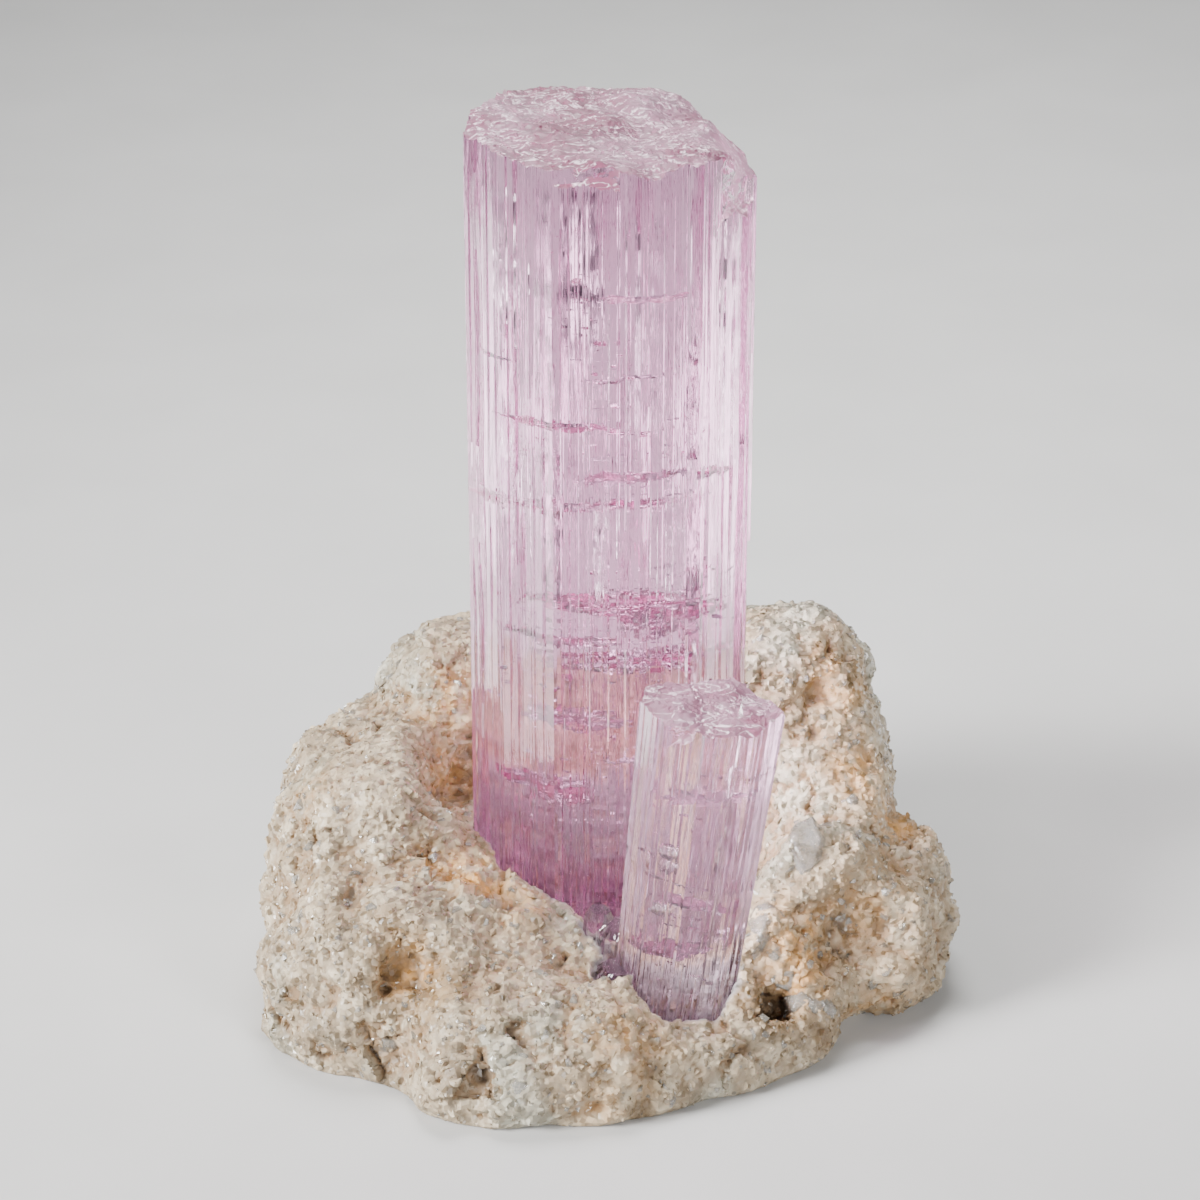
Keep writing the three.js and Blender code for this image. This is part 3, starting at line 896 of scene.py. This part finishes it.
# %% [markdown]
# ## The lump of feldspar and quartz
# The rock is a mass of grains one to three millimetres across. The solid in the model has its
# lumps and hollows, so a copy of it is remeshed finely and its facets are smoothed away. Each
# point is then moved in or out: by broad waves, by cells that stand up as single grains, and
# by fine noise. The flat underside stays flat, because the specimen rests on it.

# %% A fine copy of the rock
VOXEL = 0.49 * MM  # the finest cell that keeps the rock under 200,000 triangles
rock = bpy.data.objects.new("rock", rock_node.data.copy())
bpy.context.scene.collection.objects.link(rock)
only(rock)
bpy.ops.object.mode_set(mode="EDIT")
bpy.ops.mesh.select_all(action="SELECT")
bpy.ops.mesh.remove_doubles(threshold=SAME_PLACE)
bpy.ops.object.mode_set(mode="OBJECT")
apply_modifier(rock, "REMESH", mode="VOXEL", voxel_size=VOXEL)
apply_modifier(rock, "SMOOTH", factor=0.5, iterations=10)
print("rock", triangle_count(rock), "triangles")

# %% Where its pits and stains are
# pixel in the photograph, radius in mm, depth in mm
PITS = [
    ((410, 965), 2.8, 1.9), ((395, 985), 1.8, 1.4), ((480, 1072), 1.1, 2.2), ((458, 790), 2.2, 2.4),
    ((462, 755), 1.8, 1.8), ((432, 800), 1.6, 1.4), ((760, 1012), 1.9, 0.9), ((815, 690), 2.2, 2.0),
    ((845, 660), 1.6, 1.5), ((590, 970), 1.6, 1.3), ((870, 760), 1.5, 1.4), ((600, 1108), 1.6, 1.4),
    ((660, 1010), 1.6, 1.5), ((350, 905), 1.4, 1.2), ((740, 860), 1.6, 1.6), ((335, 990), 1.5, 1.3),
]
# pixel, radius in mm, strength
STAINS = [
    ((475, 880), 4.2, 1.0), ((440, 862), 3.0, 0.7), ((520, 905), 3.0, 0.8), ((800, 940), 4.0, 1.0),
    ((806, 985), 3.0, 0.8), ((860, 770), 4.5, 0.7), ((890, 820), 4.0, 0.8), ((410, 965), 3.4, 0.8),
    ((445, 770), 5.0, 0.6), ((450, 700), 4.5, 0.6), ((840, 680), 5.0, 0.6), ((310, 790), 3.4, 0.5),
    ((630, 1040), 5.0, 0.5), ((880, 1000), 5.0, 0.5), ((600, 1105), 3.0, 0.5), ((870, 900), 6.0, 0.35),
]
pit_places = [(on_rock(pixel)[0], radius * MM, depth * MM) for pixel, radius, depth in PITS]
stain_places = [(on_rock(pixel)[0], radius * MM, strength) for pixel, radius, strength in STAINS]
print(len(pit_places), "pits,", len(stain_places), "stains")

# %% Moving each point of the rock
SWELL = 0.30 * MM  # closes the gap to the crystals
COARSE_CELLS, CRUMB_CELLS = 1500, 15000
FOOT, FOOT_BLEND = 0.2 * MM, 1.2 * MM  # below the first nothing moves, and above both all does
points = points_of(rock)
normals = np.empty(len(rock.data.vertices) * 3)
rock.data.vertices.foreach_get("normal", normals)
normals = normals.reshape(-1, 3)
scatter = np.random.default_rng(11)


def grain_cells(points, count, lean, height, crevice, crevice_width):
    """Cuts the surface into cells, each a plane of its own lean and height. All in metres."""
    seeds = points[scatter.choice(len(points), count, replace=False)]
    tree = kdtree.KDTree(count)
    for index, seed in enumerate(seeds):
        tree.insert(seed, index)
    tree.balance()
    leans = scatter.normal(0, 1, (count, 3))
    leans *= lean * scatter.uniform(0.2, 1, (count, 1)) / np.linalg.norm(leans, axis=1, keepdims=True)
    heights = scatter.uniform(-height, height, count)
    nearest = [tree.find_n(point, 2) for point in points]
    owner = np.array([found[0][1] for found in nearest])
    first = np.array([found[0][2] for found in nearest])
    second = np.array([found[1][2] for found in nearest])
    rise = heights[owner] + np.einsum("ij,ij->i", leans[owner], points - seeds[owner])
    rise -= crevice * np.exp(-((second - first) / crevice_width) ** 2)
    return rise, owner


coarse, coarse_owner = grain_cells(points, COARSE_CELLS, 0.34, 0.22 * MM, 0.20 * MM, 0.5 * MM)
crumbs, crumb_owner = grain_cells(points, CRUMB_CELLS, 0.5, 0.10 * MM, 0.06 * MM, 0.25 * MM)
calm = np.array([noise.noise(Vector(point) / (9 * MM)) for point in points])
wave = np.array([noise.noise(Vector(point) / (3.6 * MM)) for point in points])
swirl = np.array([noise.noise(Vector(point) / (1.7 * MM) + Vector((5, 5, 5))) for point in points])
roughness = np.clip(0.8 + 1.6 * calm, 0.25, 1.5)
push = SWELL + roughness * (coarse + 0.22 * MM * swirl) + crumbs + 0.5 * MM * wave
for place, radius, depth in pit_places:
    away = np.linalg.norm(points - np.array(place), axis=1) / radius
    push -= depth * np.exp(-(away * (1 + 0.7 * swirl + 0.5 * wave)) ** 2) * 0.7
steady = np.clip((points[:, 2] - FOOT) / FOOT_BLEND, 0, 1)
points = points + normals * (push * steady)[:, None]
points[:, 2] = np.maximum(points[:, 2], 0)
set_points(rock, points)
print("rock box", points.min(0) / MM, points.max(0) / MM)

# %% [markdown]
# ## What the colours follow
# The rock is palest where grains stand proud and tan where dirt and iron have settled in its
# hollows, with a few rusty patches; its deepest hollows are darkened further as painted shade.
# Four numbers are kept for each point of the mesh, and the material reads them: how far it lies
# below its surroundings, how near it is to a stain, how near to a crystal, where the rock is
# painted a dull grey as the crystals' shadow in their sockets, and a tone of its grain's own.

# %% Hollowness, stain, painted socket shadow and tone for each point
def settled(points, edges, rounds):
    """The points, after each has moved to the average of its neighbours this many times."""
    both = np.concatenate([edges, edges[:, ::-1]])
    degree = np.bincount(both[:, 0], minlength=len(points)).clip(1)
    for _ in range(rounds):
        points = np.column_stack([
            np.bincount(both[:, 0], weights=points[both[:, 1], axis], minlength=len(points)) / degree
            for axis in range(3)])
    return points


def add_number(piece, name, values):
    attribute = piece.data.attributes.new(name, "FLOAT", "POINT")
    attribute.data.foreach_set("value", values.astype(np.float32))


def stain_at(points):
    stain = np.zeros(len(points))
    for place, radius, strength in stain_places:
        away = np.linalg.norm(points - np.array(place), axis=1) / radius
        stain = np.maximum(stain, strength * np.exp(-away ** 2))
    return stain


edges = np.empty(len(rock.data.edges) * 2, np.int64)
rock.data.edges.foreach_get("vertices", edges)
edges = edges.reshape(-1, 2)
# Hollowness drives both the tan dirt settled in hollows and the painted shade that darkens the deepest ones.
around = settled(points, edges, 14)
below = np.einsum("ij,ij->i", around - points, normals) / (0.45 * MM)
deep = np.einsum("ij,ij->i", settled(points, edges, 90) - points, normals) / (1.4 * MM)
hollow = np.clip(0.5 + 0.5 * (0.6 * below + 0.7 * deep), 0, 1)
crystal_trees = [
    BVHTree.FromObject(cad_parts[name], bpy.context.evaluated_depsgraph_get())
    for name in ("large_crystal", "small_crystal")]
# Painted shadow: rock within this reach of a crystal is marked for a dull grey, the shade that the crystals
# would cast into their sockets.
SOCKET_REACH = 0.9 * MM
socket_shade = np.zeros(len(points))
for index, point in enumerate(points):
    near = [tree.find_nearest(point, SOCKET_REACH)[3] for tree in crystal_trees]
    near = [distance for distance in near if distance is not None]
    if near:
        socket_shade[index] = min(1.8 * (1 - min(near) / SOCKET_REACH), 1)
rock_stain = stain_at(points)
add_number(rock, "hollow", hollow)
add_number(rock, "socket_shade", socket_shade)
add_number(rock, "stain", rock_stain)
cell_tones = scatter.uniform(0, 1, CRUMB_CELLS)
add_number(rock, "tone", 0.5 * cell_tones[coarse_owner] + 0.5 * cell_tones[::-1][crumb_owner])
print("hollowness from", round(float(hollow.min()), 2), "to", round(float(hollow.max()), 2))

# %% [markdown]
# ## Feldspar and quartz
# The grains are white to grey and let a little light in. They are tan in the hollows, darker
# still in the deepest ones as painted shade, and rusty where they are stained. Small facets that
# each lean their own way, as a bump on cells, make the surface glitter like sugar: that is finer
# than the mesh can be.

# %% Rock material
def crystal_facets(tree, place, scale, slope):
    """Bump height in metres and a tone for small flat facets, each leaning its own way."""
    cells = add_node(tree, "ShaderNodeTexVoronoi", {"Vector": place, "Scale": scale})
    away = add_node(tree, "ShaderNodeVectorMath", operation="SUBTRACT")
    tree.links.new(place, away.inputs[0])
    tree.links.new(cells.outputs["Position"], away.inputs[1])
    lean = add_node(tree, "ShaderNodeVectorMath", operation="SUBTRACT")
    tree.links.new(cells.outputs["Color"], lean.inputs[0])
    lean.inputs[1].default_value = (0.5, 0.5, 0.5)
    rise = add_node(tree, "ShaderNodeVectorMath", operation="DOT_PRODUCT")
    tree.links.new(away.outputs["Vector"], rise.inputs[0])
    tree.links.new(lean.outputs["Vector"], rise.inputs[1])
    height = add_node(tree, "ShaderNodeMath", {1: slope}, operation="MULTIPLY")
    tree.links.new(rise.outputs["Value"], height.inputs[0])
    tone = add_node(tree, "ShaderNodeSeparateColor", {"Color": cells.outputs["Color"]}).outputs["Red"]
    return height.outputs["Value"], tone


QUARTZ_IOR = 1.54


def rock_material(name):
    material, tree, shader = new_material(name)
    place = object_place(tree)
    hollow = add_node(tree, "ShaderNodeAttribute", attribute_name="hollow").outputs["Fac"]
    stain = add_node(tree, "ShaderNodeAttribute", attribute_name="stain").outputs["Fac"]
    tone = add_node(tree, "ShaderNodeAttribute", attribute_name="tone").outputs["Fac"]
    patches = add_node(tree, "ShaderNodeTexNoise", {"Vector": place, "Scale": 60.0, "Detail": 5.0})
    ground = ramp(tree, patches.outputs["Fac"], [
        (0.34, (0.31, 0.29, 0.23)), (0.45, (0.27, 0.21, 0.14)),
        (0.54, (0.36, 0.295, 0.21)), (0.66, (0.20, 0.135, 0.07))])
    grains = ramp(tree, tone, [
        (0.2, (0.55, 0.50, 0.43)), (0.42, (0.85, 0.80, 0.73)),
        (0.6, (1.0, 0.98, 0.95)), (0.8, (1.4, 1.42, 1.42))])
    mineral = mixed(tree, 0.75, ground, grains, "MULTIPLY")
    height, facet_tone = crystal_facets(tree, place, 1500.0, 0.8)
    sugar = ramp(tree, facet_tone, [(0.0, (0.72, 0.70, 0.66)), (0.5, (1, 1, 1)), (1.0, (1.15, 1.15, 1.15))])
    speckled = mixed(tree, 0.7, mineral, sugar, "MULTIPLY")
    dust_share = ramp(tree, hollow, [(0.42, grey(0)), (0.74, grey(0.8))])
    dusty = mixed(tree, dust_share, speckled, (0.23, 0.14, 0.07))
    # Painted shade: the deepest hollows are darkened to a near-black brown.
    painted_shade_share = ramp(tree, hollow, [(0.8, grey(0)), (1.0, grey(0.7))])
    dark = mixed(tree, painted_shade_share, dusty, (0.10, 0.07, 0.045))
    rust_noise = add_node(tree, "ShaderNodeTexNoise", {"Vector": place, "Scale": 420.0, "Detail": 4.0})
    rust_share = add_node(tree, "ShaderNodeMath", operation="MULTIPLY")
    tree.links.new(stain, rust_share.inputs[0])
    rust_patches = ramp(tree, rust_noise.outputs["Fac"], [(0.36, grey(0)), (0.58, grey(1))])
    tree.links.new(rust_patches, rust_share.inputs[1])
    rusty = mixed(tree, rust_share.outputs["Value"], dark, (0.46, 0.23, 0.06))
    # Painted shadow: the rock next to the crystals is painted a dull grey, as the crystals' shade in their
    # sockets.
    socket_shade = add_node(tree, "ShaderNodeAttribute", attribute_name="socket_shade").outputs["Fac"]
    with_socket_shade = mixed(tree, socket_shade, rusty, (0.165, 0.155, 0.15))
    tree.links.new(with_socket_shade, shader.inputs["Base Color"])
    gloss = ramp(tree, facet_tone, [(0.0, grey(0.14)), (0.35, grey(0.45)), (1.0, grey(0.7))])
    tree.links.new(gloss, shader.inputs["Roughness"])
    bump = add_node(tree, "ShaderNodeBump", {"Height": height, "Strength": 1.0, "Distance": 1.0})
    tree.links.new(bump.outputs["Normal"], shader.inputs["Normal"])
    shader.inputs["IOR"].default_value = QUARTZ_IOR
    shader.inputs["Subsurface Weight"].default_value = 0.22
    shader.inputs["Subsurface Scale"].default_value = 0.8 * MM
    shader.inputs["Subsurface Radius"].default_value = (1.0, 0.9, 0.75)
    return material


rock.data.materials.clear()
rock.data.materials.append(rock_material("feldspar_and_quartz"))
only(rock)
bpy.ops.object.shade_smooth_by_angle(angle=math.radians(24))

# %% [markdown]
# ## Loose-looking grains and blocks of quartz
# Single grains stand out of the surface all over the lump: dull ones of feldspar, and clear
# ones of quartz. A grain is the hull round a few random points, which gives flat faces that
# meet at sharp edges, like a broken crystal. Eight different hulls are copied to thousands of
# places, turned at random and sunk into the rock by about half.

# %% Hulls for the grains
def hull_shape(luck, corners, stretch):
    mesh = bmesh.new()
    for _ in range(corners):
        way = Vector((luck.gauss(0, 1), luck.gauss(0, 1), luck.gauss(0, 1))).normalized()
        mesh.verts.new(way * Vector(stretch))
    hull = bmesh.ops.convex_hull(mesh, input=mesh.verts)
    left_over = hull["geom_interior"] + hull["geom_unused"]
    spare = [item for item in left_over if isinstance(item, bmesh.types.BMVert)]
    bmesh.ops.delete(mesh, geom=spare, context="VERTS")
    bmesh.ops.triangulate(mesh, faces=mesh.faces)
    bmesh.ops.recalc_face_normals(mesh, faces=mesh.faces)
    mesh.verts.index_update()
    points = np.array([tuple(vertex.co) for vertex in mesh.verts])
    triangles = np.array([[vertex.index for vertex in face.verts] for face in mesh.faces])
    mesh.free()
    return points, triangles


HULLS = 8
luck = random.Random(17)
hulls = [
    hull_shape(luck, luck.randint(9, 12), (1, luck.uniform(0.7, 1), luck.uniform(0.55, 0.9)))
    for _ in range(HULLS)]
print("grain hulls with", [len(triangles) for points, triangles in hulls], "triangles")


# %% Copies of the hulls on the rock
rock_points = points_of(rock)
rock_normals = np.empty(len(rock.data.vertices) * 3)
rock.data.vertices.foreach_get("normal", rock_normals)
rock_normals = rock_normals.reshape(-1, 3)


ANY_TURN = 6.3  # radians
CLEAR_OF_CRYSTAL = 0.2 * MM


def grains(name, count, smallest, largest, sink):
    """One mesh of many grains half sunk in the rock, clear of the crystals and above the floor."""
    picks = scatter.choice(len(rock_points), count, replace=False)
    sizes = smallest * (largest / smallest) ** (scatter.uniform(0, 1, count) ** 1.6) * MM
    all_points, all_triangles, all_tones, all_hollows, used = [], [], [], [], 0
    for pick, size in zip(picks, sizes):
        place = Vector(rock_points[pick]) - Vector(rock_normals[pick]) * size * sink
        if place.z < size * 1.05:
            continue
        reach = size * 1.1 + CLEAR_OF_CRYSTAL
        if any(tree.find_nearest(place, reach)[0] is not None for tree in crystal_trees):
            continue
        hull_points, hull_triangles = hulls[pick % len(hulls)]
        angle = luck.uniform(0, ANY_TURN)
        axis = Vector((luck.gauss(0, 1), luck.gauss(0, 1), luck.gauss(0, 1)))
        turn = np.array(Matrix.Rotation(angle, 3, axis))
        all_points.append(hull_points @ turn.T * size + np.array(place))
        all_triangles.append(hull_triangles + used)
        used += len(hull_points)
        all_tones.append(np.full(len(hull_points), luck.random()))
        all_hollows.append(np.full(len(hull_points), hollow[pick] * 0.8))
    points = np.concatenate(all_points)
    piece = mesh_piece(name, points, np.concatenate(all_triangles))
    add_number(piece, "tone", np.concatenate(all_tones))
    add_number(piece, "hollow", np.concatenate(all_hollows))
    add_number(piece, "stain", stain_at(points))
    print(name, len(all_points), "grains,", triangle_count(piece), "triangles")
    return piece


feldspar_grains = grains("feldspar_grains", 9000, 0.22, 0.85, 0.35)
feldspar_grains.data.materials.append(rock_material("feldspar_grain"))
quartz_grains = grains("quartz_grains", 3600, 0.25, 1.0, 0.4)

# %% Larger blocks of quartz
# pixel in the photograph, half size in mm
QUARTZ_BLOCKS = [
    ((804, 850), 4.4), ((772, 920), 4.0), ((786, 975), 3.0), ((826, 1004), 3.8), ((850, 800), 1.8),
    ((888, 742), 2.4), ((822, 812), 2.0), ((775, 775), 2.2), ((420, 775), 1.4), ((330, 862), 1.8),
    ((300, 800), 2.4), ((290, 930), 2.2), ((390, 1050), 2.2), ((520, 1090), 2.0), ((935, 905), 2.2),
    ((905, 985), 2.0), ((345, 700), 2.4), ((760, 640), 2.2),
]
BLOCK_SUNK = 0.66  # of its half size
BLOCK_BEVEL = 0.12 * MM
SMALLEST_BLOCK = 1  # mm
blocks = []
for pixel, size in QUARTZ_BLOCKS:
    place, normal = on_rock(pixel)
    room = min(tree.find_nearest(place)[3] for tree in crystal_trees) / MM
    size = min(size, room - 0.5)
    if size < SMALLEST_BLOCK:
        continue
    shape_points, shape_triangles = hull_shape(luck, 22, (1, 0.85, 0.8))
    angle = luck.uniform(0, ANY_TURN)
    turn = np.array(Matrix.Rotation(angle, 3, Vector((luck.gauss(0, 1), luck.gauss(0, 1), 1))))
    centre = np.array(place - normal * size * BLOCK_SUNK * MM)
    block = mesh_piece("block", shape_points @ turn.T * size * MM + centre, shape_triangles)
    apply_modifier(block, "BEVEL", width=BLOCK_BEVEL, segments=1, limit_method="ANGLE")
    blocks.append(block)
joined_into(quartz_grains, blocks)
print(len(blocks), "blocks, and quartz_grains has", triangle_count(quartz_grains), "triangles")


# %% Quartz material
def quartz():
    material, tree, shader = new_material("quartz")
    place = object_place(tree)
    height, facet_tone = crystal_facets(tree, place, 900.0, 0.35)
    milk = add_node(tree, "ShaderNodeTexNoise", {"Vector": place, "Scale": 500.0, "Detail": 4.0})
    tint = ramp(tree, milk.outputs["Fac"], [(0.35, (0.50, 0.46, 0.39)), (0.6, (0.70, 0.68, 0.63))])
    gloss = ramp(tree, milk.outputs["Fac"], [(0.35, grey(0.08)), (0.65, grey(0.28))])
    bump = add_node(tree, "ShaderNodeBump", {"Height": height, "Strength": 1.0, "Distance": 1.0})
    tree.links.new(tint, shader.inputs["Base Color"])
    tree.links.new(gloss, shader.inputs["Roughness"])
    tree.links.new(bump.outputs["Normal"], shader.inputs["Normal"])
    shader.inputs["IOR"].default_value = QUARTZ_IOR
    shader.inputs["Transmission Weight"].default_value = 0.78
    return material


quartz_grains.data.materials.clear()
quartz_grains.data.materials.append(quartz())
print("quartz_grains is", quartz_grains.active_material.name)

# %% [markdown]
# ## What each piece stands for
# The two crystals and the rock each stand for a solid of the model, and the grains sit on the
# rock as pieces of their own. Nothing moves, so every piece rides on the one body.

# %% Put every piece on the body and hide the solids that they replace
# piece, material slot, and the solid that it replaces
PIECES = [
    (large, "kunzite", "large_crystal"), (small, "kunzite", "small_crystal"),
    (rock, "matrix", "matrix"), (feldspar_grains, "matrix", None), (quartz_grains, "matrix", None),
]
for piece, slot, solid in PIECES:
    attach(piece, "root")
    if solid is not None:
        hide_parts(solid)
print(sum(triangle_count(piece) for piece, slot, solid in PIECES), "triangles in all")
